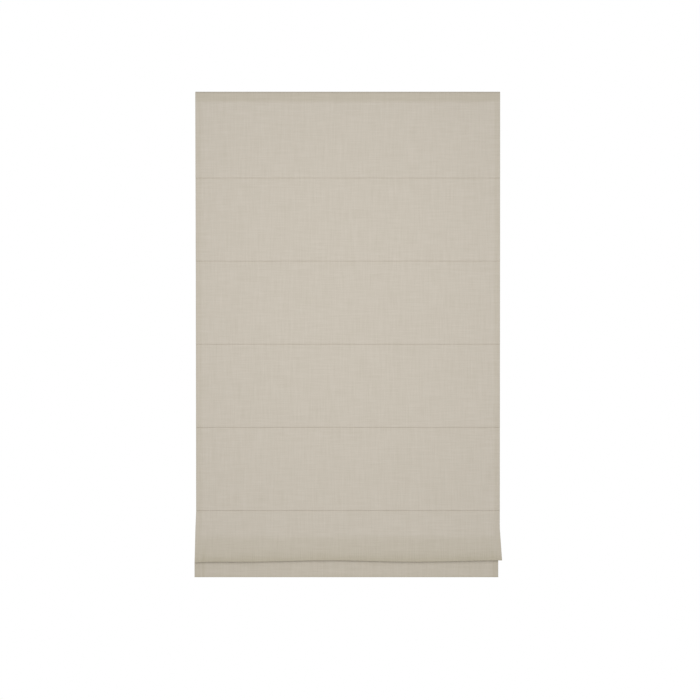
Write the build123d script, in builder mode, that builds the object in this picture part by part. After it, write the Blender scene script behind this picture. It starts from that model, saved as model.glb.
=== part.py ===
from build123d import *

import math
import os

# A cordless roman blind, hung a little short of its full drop so that its lowest panel is folded once.
# Millimetres. X runs along the head rail, +Y points at the wall and +Z is up. The origin is midway
# between the two brackets' screw holes, on the wall.

# ---- cloth ----
CLOTH_W = 1000.0  # finished width
CLOTH_T = 0.6
FIRST_PANEL = 283.0  # top edge to the first rod
PANEL = 273.0  # rod to rod
ROD_COUNT = 6
FLAP = 152.0  # last rod to the bottom edge
RAISED = 205.0  # how far the last rod is drawn up
TOP_HEM = 33.0
SIDE_HEM = 20.0
BAR_HEM = 33.0
TOP_COVER = 5.0  # cloth above the rail's top

# ---- rods, rings and bar ----
ROD_D = 4.0
ROD_INSET = 8.0  # cloth edge to the end of the rod's cap
ROD_CAP_WALL = 0.6
ROD_CAP_L = 10.0
ROD_CAP_END = 1.5
RING_D = 12.0  # outside
RING_WIRE = 2.0
BAR_H = 25.0
BAR_T = 3.0
BAR_CAP_WALL = 0.6
BAR_CAP_L = 12.0
BAR_CAP_END = 2.0
BAR_INSET = 8.0  # cloth edge to the end of the bar's cap

# ---- head rail ----
RAIL_D = 34.0
RAIL_H = 30.0
RAIL_WALL = 1.2
RAIL_R = 1.5
TRACK_OPEN = 12.0  # mouth of the T-track in the rail's top
TRACK_W = 24.0
TRACK_H = 3.2
BOTTOM_SLOT = 16.0
CAP_T = 3.0
CAP_INSET = 2.0  # cloth edge to the end cap
CAP_SPIGOT = 8.0
CAP_WALL = 2.0
TAPE_W = 25.0
TAPE_DROP = 2.5  # rail's top to the tape
HOOK_T = 1.2
LOOP_T = 1.0

# ---- brackets and latches ----
BRACKET_INSET = 100.0  # cloth edge to the bracket's centre
BRACKET_W = 24.0
BRACKET_T = 1.5
BRACKET_REACH = 33.0
BRACKET_LEG = 25.0
BRACKET_R = 3.0
SCREW_HOLE = 5.0
SCREW_DROP = 14.0  # bracket's top to the screw hole
SCREW_ROOM = 4.5  # for the screw's head, between bracket and rail
LATCH_T = 1.5
LATCH_STEM = 8.0
LATCH_REACH = 17.0
LATCH_LEVER_W = 8.0
CAM_L = 21.0
CAM_W = 9.0
CAM_T = 1.8
RIVET_D = 4.0
RIVET_HEAD = 8.0
RIVET_HEAD_T = 0.9
RIVET_FOOT = 6.5
RIVET_FOOT_T = 0.8

# ---- lift mechanism ----
SHAFT_AF = 6.0  # hexagon, across flats
SHAFT_INSET = 25.0  # rail's end to the shaft's end
SHAFT_BACK = 13.0  # shaft's axis to the rail's back
CORD_D = 1.2
CORD_INSET = 170.0  # cloth edge to the outer cords
CORD_TURNS = 6
TURN_SLACK = 0.1  # the wound turns lie a little looser than the cord itself
FLANGE_T = 1.2
FLANGE_GAP = 0.6  # spool's flange to the cradle's base
FLANGE_RIM = 0.2  # flange proud of the wound turns
SPOOL_L = 50.0
JOURNAL_D = 10.0
CRADLE_WALL = 2.5
CRADLE_BASE = 1.6
CRADLE_LEAD = 4.0  # spool's end to the cord
SPOUT_L = 10.0
SPOUT_W = 6.8
SPOUT_DROP = 2.1  # below the rail
GUIDE_HOLE = 2.4
HOUSING_INSET = 30.0  # rail's end to the motor and the brake
MOTOR_L = 70.0
BRAKE_L = 32.0
HOUSING_WALL = 2.0
COVER_T = 2.0
MOTOR_SIDE = 1.8  # thinnest wall above and below the motor's bore
MOTOR_HUB_D = 10.0
BRAKE_BORE = 15.0
BRAKE_HUB_D = 11.0
SPRING_T = 1.4  # thickness of the brake's wrap spring
COLLAR_D = 11.0
COLLAR_T = 3.0
BEAD_D = 11.0
BEAD_H = 10.0
CORD_TAIL = 2.0  # cord below its bead

# ---- clearances ----
SOFT_GAP = 0.3  # cloth to a hard piece inside or beside it
SLIDE_GAP = 0.2  # housings in the rail, latch to rail and bracket
RUN_GAP = 0.05  # radial, turning fits
END_GAP = 0.4  # endwise, turning pieces

# ---- places worked out from the sizes above ----
SIDES = {"left": -1, "right": 1}
PLATE_TOP = SCREW_DROP
PLATE_BOTTOM = PLATE_TOP - BRACKET_T
RAIL_TOP = PLATE_BOTTOM - LATCH_T - 2 * SLIDE_GAP
RAIL_BOTTOM = RAIL_TOP - RAIL_H
RAIL_BACK = -BRACKET_T - SCREW_ROOM
RAIL_FRONT = RAIL_BACK - RAIL_D
RAIL_Y = (RAIL_BACK + RAIL_FRONT) / 2
RAIL_L = CLOTH_W - 2 * (CAP_INSET + CAP_T)
RAIL_END = RAIL_L / 2
TRACK_TOP = RAIL_TOP - RAIL_WALL
TRACK_FLOOR = TRACK_TOP - TRACK_H
ROOM_TOP = TRACK_FLOOR - RAIL_WALL
ROOM_BOTTOM = RAIL_BOTTOM + RAIL_WALL
ROOM_FRONT = RAIL_FRONT + RAIL_WALL
ROOM_BACK = RAIL_BACK - RAIL_WALL

ROOM_H = ROOM_TOP - ROOM_BOTTOM

SHAFT_Y = RAIL_BACK - SHAFT_BACK
SHAFT_Z = (ROOM_TOP + ROOM_BOTTOM) / 2
MOTOR_BORE = ROOM_H - 2 * MOTOR_SIDE
FLANGE_D = ROOM_H - 2 * (CRADLE_BASE + FLANGE_GAP)
BARREL_D = FLANGE_D - 2 * (SOFT_GAP + 2 * TURN_SLACK + CORD_D + FLANGE_RIM)
WIND_R = BARREL_D / 2 + SOFT_GAP + TURN_SLACK + CORD_D / 2
CORD_Y = SHAFT_Y - WIND_R
SLOT_FRONT = CORD_Y - SPOUT_W / 2 - SLIDE_GAP
CORD_X = CLOTH_W / 2 - CORD_INSET
CORD_PLACES = {"left": -CORD_X, "centre": 0.0, "right": CORD_X}

CLOTH_TOP = RAIL_TOP + TOP_COVER
CLOTH_BACK = RAIL_FRONT - HOOK_T - LOOP_T  # back of the top hem
FACE_Y = CLOTH_BACK - 2 * CLOTH_T  # room side of the cloth
POCKET_IN = ROD_D / 2 + ROD_CAP_WALL + SOFT_GAP
POCKET_OUT = POCKET_IN + CLOTH_T
ROD_Y = CORD_Y - RING_D / 2 - SOFT_GAP - POCKET_OUT
ROD_Z = [CLOTH_TOP - FIRST_PANEL - PANEL * i for i in range(ROD_COUNT)]
ROD_Z[-1] += RAISED
FOLD_Z = (ROD_Z[-2] + ROD_Z[-1] - PANEL) / 2
UP_LAYER = ROD_Y - POCKET_OUT  # room side of the layer that climbs from the fold to the last rod
FLAP_Y = ROD_Y + POCKET_IN  # room side of the flap
HEM_BOTTOM = ROD_Z[-1] - FLAP
BAR_CLEAR = BAR_CAP_WALL + SOFT_GAP
BAR_LOW = HEM_BOTTOM + CLOTH_T + BAR_CLEAR
BAR_FRONT = FLAP_Y + CLOTH_T + BAR_CLEAR

LATCH_TOP = PLATE_BOTTOM - SLIDE_GAP
LATCH_LOW = LATCH_TOP - LATCH_T
CAM_TOP = TRACK_TOP - SLIDE_GAP
CAM_LOW = CAM_TOP - CAM_T
BRACKET_X = CLOTH_W / 2 - BRACKET_INSET


def rectangle(low, high, mode=Mode.ADD):
    """A rectangle in the open sketch, from its lowest to its highest corner."""
    with Locations(((low[0] + high[0]) / 2, (low[1] + high[1]) / 2)):
        Rectangle(high[0] - low[0], high[1] - low[1], mode=mode)


def block(low, high, mode=Mode.ADD):
    """A box in the open part, from its lowest to its highest corner."""
    middle = tuple((a + b) / 2 for a, b in zip(low, high))
    with Locations(middle):
        Box(*(b - a for a, b in zip(low, high)), mode=mode)


def round_bar(start, steps, y=SHAFT_Y, z=SHAFT_Z, mode=Mode.ADD):
    """Stepped round bar along +X from start, given as (length, diameter) pairs."""
    for length, diameter in steps:
        with BuildSketch(Plane.YZ.offset(start)) as disc:
            with Locations((y, z)):
                Circle(diameter / 2)
        extrude(disc.sketch, amount=length, mode=mode)
        start += length


def hexagon(start, length, across_flats, mode=Mode.SUBTRACT):
    """Hexagonal bar or bore along +X on the shaft's axis."""
    with BuildSketch(Plane.YZ.offset(start)) as profile:
        with Locations((SHAFT_Y, SHAFT_Z)):
            RegularPolygon(across_flats / 2 / math.cos(math.pi / 6), 6)
    extrude(profile.sketch, amount=length, mode=mode)


def save(piece, label):
    """Label a finished piece and write it out."""
    piece.part.label = label
    export_step(piece.part, f"parts/{label}.step")


os.makedirs("parts", exist_ok=True)

# ---- head rail: an extruded box with a T-track in its top and a slot along its bottom ----
with BuildPart() as head_rail:
    with BuildSketch(Plane.YZ.offset(-RAIL_END)):
        with Locations((RAIL_Y, (RAIL_TOP + RAIL_BOTTOM) / 2)):
            RectangleRounded(RAIL_D, RAIL_H, RAIL_R)
        rectangle((ROOM_FRONT, ROOM_BOTTOM), (ROOM_BACK, ROOM_TOP), Mode.SUBTRACT)
        rectangle(
            (RAIL_Y - TRACK_W / 2, TRACK_FLOOR), (RAIL_Y + TRACK_W / 2, TRACK_TOP), Mode.SUBTRACT
        )
        rectangle(
            (RAIL_Y - TRACK_OPEN / 2, TRACK_FLOOR), (RAIL_Y + TRACK_OPEN / 2, RAIL_TOP), Mode.SUBTRACT
        )
        rectangle(
            (SLOT_FRONT, RAIL_BOTTOM), (SLOT_FRONT + BOTTOM_SLOT, ROOM_BOTTOM), Mode.SUBTRACT
        )
        # hollow corners beside the track
        web = TRACK_W / 2 + RAIL_WALL
        rectangle((ROOM_FRONT, ROOM_TOP), (RAIL_Y - web, TRACK_TOP), Mode.SUBTRACT)
        rectangle((RAIL_Y + web, ROOM_TOP), (ROOM_BACK, TRACK_TOP), Mode.SUBTRACT)
    extrude(amount=RAIL_L)
save(head_rail, "head_rail")

# ---- end caps: a plate over each end of the rail, with a hollow spigot inside it ----
for side, sign in SIDES.items():
    with BuildPart() as end_cap:
        with BuildSketch(Plane.YZ.offset(sign * RAIL_END)):
            with Locations((RAIL_Y, (RAIL_TOP + RAIL_BOTTOM) / 2)):
                RectangleRounded(RAIL_D, RAIL_H, RAIL_R)
        extrude(amount=sign * CAP_T)
        with BuildSketch(Plane.YZ.offset(sign * RAIL_END)):
            rectangle(
                (ROOM_FRONT + SLIDE_GAP, ROOM_BOTTOM + SLIDE_GAP),
                (ROOM_BACK - SLIDE_GAP, ROOM_TOP - SLIDE_GAP),
            )
            inset = SLIDE_GAP + CAP_WALL
            rectangle(
                (ROOM_FRONT + inset, ROOM_BOTTOM + inset),
                (ROOM_BACK - inset, ROOM_TOP - inset),
                Mode.SUBTRACT,
            )
        extrude(amount=-sign * CAP_SPIGOT)
    save(end_cap, f"end_cap_{side}")

# ---- touch tape: hooks glued to the rail, loops sewn to the cloth ----
TAPE_TOP = RAIL_TOP - TAPE_DROP
with BuildPart() as hook_tape:
    block((-RAIL_END, RAIL_FRONT - HOOK_T, TAPE_TOP - TAPE_W), (RAIL_END, RAIL_FRONT, TAPE_TOP))
save(hook_tape, "hook_tape")

with BuildPart() as loop_tape:
    block((-RAIL_END, CLOTH_BACK, TAPE_TOP - TAPE_W), (RAIL_END, CLOTH_BACK + LOOP_T, TAPE_TOP))
save(loop_tape, "loop_tape")

# ---- brackets: a plate over the rail and a leg down the wall ----
for side, sign in SIDES.items():
    with BuildPart() as bracket:
        low_x = sign * BRACKET_X - BRACKET_W / 2
        with BuildSketch(Plane.YZ.offset(low_x)):
            rectangle((-BRACKET_REACH, PLATE_BOTTOM), (0, PLATE_TOP))
            rectangle((-BRACKET_T, PLATE_TOP - BRACKET_LEG), (0, PLATE_TOP))
        extrude(amount=BRACKET_W)
        fillet(bracket.edges().filter_by(Axis.Z).group_by(Axis.Y)[0], BRACKET_R)
        fillet(bracket.edges().filter_by(Axis.Y).group_by(Axis.Z)[0], BRACKET_R)
        with BuildSketch(Plane.XZ):
            with Locations((sign * BRACKET_X, 0)):
                Circle(SCREW_HOLE / 2)
        extrude(amount=BRACKET_T, mode=Mode.SUBTRACT)
        with BuildSketch(Plane.XY.offset(PLATE_BOTTOM)):
            with Locations((sign * BRACKET_X, RAIL_Y)):
                Circle(RIVET_D / 2)
        extrude(amount=BRACKET_T, mode=Mode.SUBTRACT)
    save(bracket, f"bracket_{side}")

# ---- latches: a cam in the rail's track, turned by a lever under the bracket ----
for side, sign in SIDES.items():
    pivot = (sign * BRACKET_X, RAIL_Y)
    with BuildPart() as latch:
        with BuildSketch(Plane.XY.offset(CAM_LOW)):
            with Locations(Location((*pivot, 0), (0, 0, 90))):
                SlotOverall(CAM_L, CAM_W)
        extrude(amount=CAM_T)
        with BuildSketch(Plane.XY.offset(CAM_TOP)):
            with Locations(pivot):
                Circle(LATCH_STEM / 2)
        extrude(amount=LATCH_LOW - CAM_TOP)
        with BuildSketch(Plane.XY.offset(LATCH_LOW)):
            with Locations(pivot):
                Circle(LATCH_LEVER_W / 2)
            rectangle(
                (pivot[0], RAIL_Y - LATCH_LEVER_W / 2),
                (pivot[0] + LATCH_REACH, RAIL_Y + LATCH_LEVER_W / 2),
            )
        extrude(amount=LATCH_T)
        fillet(latch.edges().filter_by(Axis.Z).sort_by(Axis.X)[-2:], LATCH_LEVER_W / 4)
        with BuildSketch(Plane.XY.offset(CAM_LOW)):
            with Locations(pivot):
                Circle(RIVET_D / 2 + RUN_GAP)
        extrude(amount=LATCH_TOP - CAM_LOW, mode=Mode.SUBTRACT)
    save(latch, f"latch_{side}")

# ---- rivets: through each bracket and its latch, with a head above and a foot below ----
with BuildPart() as bracket_rivets:
    for sign in SIDES.values():
        foot_top = CAM_LOW - SLIDE_GAP
        for base, height, diameter in (
            (foot_top - RIVET_FOOT_T, RIVET_FOOT_T, RIVET_FOOT),
            (foot_top, PLATE_TOP - foot_top, RIVET_D),
            (PLATE_TOP, RIVET_HEAD_T, RIVET_HEAD),
        ):
            with BuildSketch(Plane.XY.offset(base)):
                with Locations((sign * BRACKET_X, RAIL_Y)):
                    Circle(diameter / 2)
            extrude(amount=height)
save(bracket_rivets, "bracket_rivets")

# ---- lift shaft, and the collars that keep it in place endwise ----
SHAFT_END = RAIL_END - SHAFT_INSET
with BuildPart() as lift_shaft:
    hexagon(-SHAFT_END, 2 * SHAFT_END, SHAFT_AF, Mode.ADD)
save(lift_shaft, "lift_shaft")

# ---- spools and their cradles, one for each cord ----
CRADLE_TOP = SHAFT_Z + JOURNAL_D / 2 + CRADLE_WALL
for place, x in CORD_PLACES.items():
    spool_low = x - CRADLE_LEAD
    cradle_low = spool_low - END_GAP - CRADLE_WALL
    cradle_high = spool_low + SPOOL_L + END_GAP + CRADLE_WALL
    journal_l = END_GAP + CRADLE_WALL

    with BuildPart() as spool:
        round_bar(
            cradle_low,
            (
                (journal_l, JOURNAL_D),
                (FLANGE_T, FLANGE_D),
                (SPOOL_L - 2 * FLANGE_T, BARREL_D),
                (FLANGE_T, FLANGE_D),
                (journal_l, JOURNAL_D),
            ),
        )
        hexagon(cradle_low, cradle_high - cradle_low, SHAFT_AF + 2 * RUN_GAP)
    save(spool, f"spool_{place}")

    with BuildPart() as cradle:
        front = ROOM_FRONT + SLIDE_GAP
        back = ROOM_BACK - SLIDE_GAP
        block((cradle_low, front, ROOM_BOTTOM), (cradle_high, back, ROOM_BOTTOM + CRADLE_BASE))
        for wall_low in (cradle_low, cradle_high - CRADLE_WALL):
            block((wall_low, front, ROOM_BOTTOM), (wall_low + CRADLE_WALL, back, CRADLE_TOP))
        block(
            (x - SPOUT_L / 2, CORD_Y - SPOUT_W / 2, RAIL_BOTTOM - SPOUT_DROP),
            (x + SPOUT_L / 2, CORD_Y + SPOUT_W / 2, ROOM_BOTTOM),
        )
        for wall_low in (cradle_low, cradle_high - CRADLE_WALL):
            round_bar(wall_low, ((CRADLE_WALL, JOURNAL_D + 2 * RUN_GAP),), mode=Mode.SUBTRACT)
        with BuildSketch(Plane.XY.offset(RAIL_BOTTOM - SPOUT_DROP)):
            with Locations((x, CORD_Y)):
                Circle(GUIDE_HOLE / 2)
        extrude(amount=SPOUT_DROP + RAIL_WALL + CRADLE_BASE, mode=Mode.SUBTRACT)
    save(cradle, f"cradle_{place}")

    # lift cord: its turns on the spool, and its straight run through the rings to the bead
    with BuildPart() as lift_cord:
        turn_half = CORD_D / 2 + TURN_SLACK
        with BuildSketch(Plane.YZ.offset(x - turn_half)):
            with Locations((SHAFT_Y, SHAFT_Z)):
                Circle(WIND_R + turn_half)
                Circle(WIND_R - turn_half, mode=Mode.SUBTRACT)
        extrude(amount=CORD_TURNS * 2 * turn_half)
        cord_end = ROD_Z[-1] - RING_WIRE / 2 - BEAD_H - CORD_TAIL
        with BuildSketch(Plane.XY.offset(cord_end)):
            with Locations((x, CORD_Y)):
                Circle(CORD_D / 2)
        extrude(amount=SHAFT_Z - cord_end)
    save(lift_cord, f"lift_cord_{place}")


def housing(start, length, bore, label):
    """Housing in the rail around the shaft, open at its +X end, and the plate that closes it."""
    front = ROOM_FRONT + SLIDE_GAP
    back = ROOM_BACK - SLIDE_GAP
    low_z = ROOM_BOTTOM
    high_z = ROOM_TOP - SLIDE_GAP
    shell_l = length - COVER_T
    shaft_hole = SHAFT_AF / math.cos(math.pi / 6) + 2 * SOFT_GAP
    with BuildPart() as shell:
        block((start, front, low_z), (start + shell_l, back, high_z))
        cavity_l = shell_l - HOUSING_WALL
        round_bar(start + HOUSING_WALL, ((cavity_l, bore),), mode=Mode.SUBTRACT)
        round_bar(start, ((HOUSING_WALL, shaft_hole),), mode=Mode.SUBTRACT)
    save(shell, f"{label}_housing")
    with BuildPart() as cover:
        block((start + shell_l, front, low_z), (start + length, back, high_z))
        round_bar(start + shell_l, ((COVER_T, shaft_hole),), mode=Mode.SUBTRACT)
    save(cover, f"{label}_cover")


# ---- spring motor: a roll of spring strip around a hub on the shaft ----
MOTOR_LOW = RAIL_END - HOUSING_INSET - MOTOR_L
MOTOR_INNER = MOTOR_L - COVER_T - HOUSING_WALL - 2 * END_GAP
housing(MOTOR_LOW, MOTOR_L, MOTOR_BORE, "motor")
with BuildPart() as motor_hub:
    round_bar(MOTOR_LOW + HOUSING_WALL + END_GAP, ((MOTOR_INNER, MOTOR_HUB_D),))
    hexagon(MOTOR_LOW + HOUSING_WALL + END_GAP, MOTOR_INNER, SHAFT_AF + 2 * RUN_GAP)
save(motor_hub, "motor_hub")

with BuildPart() as motor_spring:
    spring_low = MOTOR_LOW + HOUSING_WALL + END_GAP
    round_bar(spring_low, ((MOTOR_INNER, MOTOR_BORE - 2 * SLIDE_GAP),))
    round_bar(spring_low, ((MOTOR_INNER, MOTOR_HUB_D + 2 * SOFT_GAP),), mode=Mode.SUBTRACT)
save(motor_spring, "motor_spring")

# ---- brake: a close-wound wrap spring around a hub on the shaft ----
BRAKE_LOW = -RAIL_END + HOUSING_INSET
BRAKE_INNER = BRAKE_L - COVER_T - HOUSING_WALL - 2 * END_GAP
housing(BRAKE_LOW, BRAKE_L, BRAKE_BORE, "brake")
with BuildPart() as brake_hub:
    round_bar(BRAKE_LOW + HOUSING_WALL + END_GAP, ((BRAKE_INNER, BRAKE_HUB_D),))
    hexagon(BRAKE_LOW + HOUSING_WALL + END_GAP, BRAKE_INNER, SHAFT_AF + 2 * RUN_GAP)
save(brake_hub, "brake_hub")

with BuildPart() as brake_spring:
    spring_low = BRAKE_LOW + HOUSING_WALL + END_GAP
    spring_in = BRAKE_HUB_D + 2 * SOFT_GAP
    round_bar(spring_low, ((BRAKE_INNER, spring_in + 2 * SPRING_T),))
    round_bar(spring_low, ((BRAKE_INNER, spring_in),), mode=Mode.SUBTRACT)
save(brake_spring, "brake_spring")

with BuildPart() as shaft_collars:
    for collar_low in (BRAKE_LOW + BRAKE_L + END_GAP, MOTOR_LOW - END_GAP - COLLAR_T):
        round_bar(collar_low, ((COLLAR_T, COLLAR_D),))
        hexagon(collar_low, COLLAR_T, SHAFT_AF + 2 * RUN_GAP)
save(shaft_collars, "shaft_collars")

# ---- cloth: one sewn piece, with a tuck around each rod and a hem around the bar ----
with BuildPart() as face_cloth:
    fold_r = (UP_LAYER + CLOTH_T - FACE_Y) / 2
    fold_centre = (FACE_Y + fold_r, FOLD_Z + fold_r)
    with BuildSketch(Plane.YZ.offset(-CLOTH_W / 2)):
        rectangle((FACE_Y, fold_centre[1]), (FACE_Y + CLOTH_T, CLOTH_TOP))
        rectangle((FACE_Y + CLOTH_T, CLOTH_TOP - TOP_HEM), (CLOTH_BACK, CLOTH_TOP))
        with BuildLine():
            CenterArc(fold_centre, fold_r, 180, 180)
            CenterArc(fold_centre, fold_r - CLOTH_T, 180, 180)
            Line((FACE_Y, fold_centre[1]), (FACE_Y + CLOTH_T, fold_centre[1]))
            Line((UP_LAYER, fold_centre[1]), (UP_LAYER + CLOTH_T, fold_centre[1]))
        make_face()
        rectangle((UP_LAYER, fold_centre[1]), (UP_LAYER + CLOTH_T, ROD_Z[-1]))
        rectangle((FLAP_Y, HEM_BOTTOM), (FLAP_Y + CLOTH_T, ROD_Z[-1]))
        for rod_z in ROD_Z[:-1]:
            rectangle((FACE_Y + CLOTH_T, rod_z - CLOTH_T), (ROD_Y - POCKET_IN, rod_z + CLOTH_T))
        for rod_z in ROD_Z:
            with Locations((ROD_Y, rod_z)):
                Circle(POCKET_OUT)
                Circle(POCKET_IN, mode=Mode.SUBTRACT)
        # hem around the bar, closed by the stitching above it
        hem_back = BAR_FRONT + BAR_T + BAR_CLEAR
        hem_top = BAR_LOW + BAR_H + BAR_CLEAR
        rectangle((FLAP_Y, HEM_BOTTOM), (hem_back + CLOTH_T, hem_top + CLOTH_T))
        rectangle((FLAP_Y + CLOTH_T, HEM_BOTTOM + CLOTH_T), (hem_back, hem_top), Mode.SUBTRACT)
    extrude(amount=CLOTH_W)
    # turned side hems, a second layer on the window side
    for low_x in (-CLOTH_W / 2, CLOTH_W / 2 - SIDE_HEM):
        with BuildSketch(Plane.YZ.offset(low_x)):
            rectangle(
                (FACE_Y + CLOTH_T, fold_centre[1]), (FACE_Y + 2 * CLOTH_T, CLOTH_TOP - TOP_HEM)
            )
            rectangle(
                (FLAP_Y + CLOTH_T, hem_top + CLOTH_T), (FLAP_Y + 2 * CLOTH_T, ROD_Z[-1] - POCKET_OUT)
            )
        extrude(amount=SIDE_HEM)
save(face_cloth, "face_cloth")

# ---- rods, their end caps and the rings sewn behind them, one set for each tuck ----
ROD_HALF = CLOTH_W / 2 - ROD_INSET - ROD_CAP_END
for number, rod_z in enumerate(ROD_Z, start=1):
    with BuildPart() as rod:
        round_bar(-ROD_HALF, ((2 * ROD_HALF, ROD_D),), ROD_Y, rod_z)
    save(rod, f"rod_{number}")

    with BuildPart() as rod_caps:
        cap_d = ROD_D + 2 * ROD_CAP_WALL
        for low_x in (-ROD_HALF - ROD_CAP_END, ROD_HALF + ROD_CAP_END - ROD_CAP_L):
            round_bar(low_x, ((ROD_CAP_L, cap_d),), ROD_Y, rod_z)
        round_bar(-ROD_HALF, ((2 * ROD_HALF, ROD_D),), ROD_Y, rod_z, Mode.SUBTRACT)
    save(rod_caps, f"rod_caps_{number}")

    with BuildPart() as rings:
        with Locations(*((x, CORD_Y, rod_z) for x in CORD_PLACES.values())):
            Torus((RING_D - RING_WIRE) / 2, RING_WIRE / 2)
    save(rings, f"rings_{number}")

# ---- bottom bar in the flap's hem ----
BAR_HALF = CLOTH_W / 2 - BAR_INSET - BAR_CAP_END
with BuildPart() as bottom_bar:
    block((-BAR_HALF, BAR_FRONT, BAR_LOW), (BAR_HALF, BAR_FRONT + BAR_T, BAR_LOW + BAR_H))
save(bottom_bar, "bottom_bar")

with BuildPart() as bar_caps:
    for low_x in (-BAR_HALF - BAR_CAP_END, BAR_HALF + BAR_CAP_END - BAR_CAP_L):
        block(
            (low_x, BAR_FRONT - BAR_CAP_WALL, BAR_LOW - BAR_CAP_WALL),
            (low_x + BAR_CAP_L, BAR_FRONT + BAR_T + BAR_CAP_WALL, BAR_LOW + BAR_H + BAR_CAP_WALL),
        )
    block(
        (-BAR_HALF, BAR_FRONT, BAR_LOW), (BAR_HALF, BAR_FRONT + BAR_T, BAR_LOW + BAR_H), Mode.SUBTRACT
    )
save(bar_caps, "bottom_bar_caps")

# ---- beads that hold the cords under the last row of rings ----
with BuildPart() as cord_beads:
    for x in CORD_PLACES.values():
        with BuildSketch(Plane.XY.offset(ROD_Z[-1] - RING_WIRE / 2 - BEAD_H)):
            with Locations((x, CORD_Y)):
                Circle(BEAD_D / 2)
                Circle(CORD_D / 2 + SOFT_GAP, mode=Mode.SUBTRACT)
        extrude(amount=BEAD_H)
save(cord_beads, "cord_beads")
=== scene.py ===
# %% [markdown]
# # A cordless roman blind
# The blind is one sheet of linen-look cloth on a slim rail. Fine tucks across its back hold stiff rods,
# and cords through rings draw the rods up. The rail, rods, rings and mechanism come from the frame and
# keep their shape, so this lesson makes what is soft: the cloth, its stitching and the cords.

# %% Load the frame
import math

import bmesh
import bpy
import numpy as np
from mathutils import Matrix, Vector


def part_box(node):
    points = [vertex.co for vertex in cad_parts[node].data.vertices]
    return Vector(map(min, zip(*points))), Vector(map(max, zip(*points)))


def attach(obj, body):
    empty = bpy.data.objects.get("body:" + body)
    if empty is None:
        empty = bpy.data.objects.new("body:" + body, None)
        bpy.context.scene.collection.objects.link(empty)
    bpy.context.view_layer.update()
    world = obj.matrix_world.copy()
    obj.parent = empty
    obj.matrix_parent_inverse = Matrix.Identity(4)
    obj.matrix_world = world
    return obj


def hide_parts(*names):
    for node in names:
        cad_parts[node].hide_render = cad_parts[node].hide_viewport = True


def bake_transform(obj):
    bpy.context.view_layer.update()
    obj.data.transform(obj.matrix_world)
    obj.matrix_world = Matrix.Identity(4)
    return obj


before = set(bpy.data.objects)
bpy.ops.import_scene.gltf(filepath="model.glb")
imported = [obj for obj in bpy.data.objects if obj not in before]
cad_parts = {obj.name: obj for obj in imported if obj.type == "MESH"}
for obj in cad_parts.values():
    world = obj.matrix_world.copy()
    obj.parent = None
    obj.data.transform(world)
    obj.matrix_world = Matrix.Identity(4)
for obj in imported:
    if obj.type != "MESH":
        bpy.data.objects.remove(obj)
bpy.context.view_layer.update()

MM = 0.001

# %% [markdown]
# ## Sizes from the frame
# Every place is read from a node's box, so the soft pieces meet the hard ones exactly. The cloth's
# layers are described by their middle surface, and a Solidify modifier gives them their thickness.

# %% Cloth and rod places
cloth_low, cloth_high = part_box("face_cloth")
CLOTH_T = 0.6 * MM
HALF_W = (cloth_high.x - cloth_low.x) / 2
FACE_Y = cloth_low.y + CLOTH_T / 2
rod_boxes = [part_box(f"rod_{k}") for k in range(1, 7)]
ROD_Z = [(low.z + high.z) / 2 for low, high in rod_boxes]
ROD_Y = (rod_boxes[0][0].y + rod_boxes[0][1].y) / 2
POCKET_R = 3.2 * MM  # middle of the cloth round a rod
TUCK_Y = ROD_Y - POCKET_R  # bottom of the tuck's crease, where the pocket begins
CLOTH_TOP = cloth_high.z - CLOTH_T / 2
BAND = 33 * MM  # top hem
SIDE_HEM = 20 * MM
PANEL = ROD_Z[0] - ROD_Z[1]
FOLD_R = (TUCK_Y - FACE_Y) / 2  # half circle at the bottom fold
FOLD_LOW = (ROD_Z[4] + ROD_Z[5] - PANEL) / 2 + CLOTH_T / 2
FLAP_Y = ROD_Y + POCKET_R
HEM_LOW = cloth_low.z + CLOTH_T / 2
print("rods at", [round(z, 4) for z in ROD_Z], "fold at", round(FOLD_LOW, 4))

# %% [markdown]
# ## Camera and light
# A blind is shown flat and square on, so a long lens far away keeps its sides upright. The light is a
# tall soft panel in front: it leaves the middle slightly lighter than the sides, and the fold at the
# bottom throws only a short shade on the flap. A weaker panel lights the back. The room is white to the
# camera but lights weakly.

# %% Camera
LENS = 110.0
SEEN_WIDTH = 2.2988  # width that the view takes in at the cloth
SENSOR = 36.0
camera_data = bpy.data.cameras.new("camera")
camera_data.lens, camera_data.sensor_width = LENS, SENSOR
camera = bpy.data.objects.new("camera", camera_data)
bpy.context.scene.collection.objects.link(camera)
camera.location = (0.00755, FACE_Y - SEEN_WIDTH * LENS / SENSOR, -0.8323)
camera.rotation_euler = (math.pi / 2, 0, 0)
bpy.context.scene.camera = camera
bpy.context.scene.view_settings.view_transform = "Standard"
print("camera", [round(v, 3) for v in camera.location])


# %% Colour and node helpers
def to_linear(hex_colour):
    """The linear colour of an sRGB hex value: a twelfth part near black, and a power of 2.4 above it."""
    srgb = np.array([int(hex_colour[i : i + 2], 16) for i in (1, 3, 5)]) / 255
    linear = np.where(srgb <= 0.04045, srgb / 12.92, ((srgb + 0.055) / 1.055) ** 2.4)
    return (*linear.tolist(), 1.0)


def add_node(tree, kind, inputs=None, **settings):
    """Adds one node. Settings are its properties. Each input is a value, or a (node, output) to link."""
    node = tree.nodes.new(kind)
    for name, value in settings.items():
        setattr(node, name, value)
    for socket, value in (inputs or {}).items():
        if isinstance(value, tuple) and isinstance(value[0], bpy.types.Node):
            tree.links.new(value[0].outputs[value[1]], node.inputs[socket])
        else:
            node.inputs[socket].default_value = value
    return node


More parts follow.
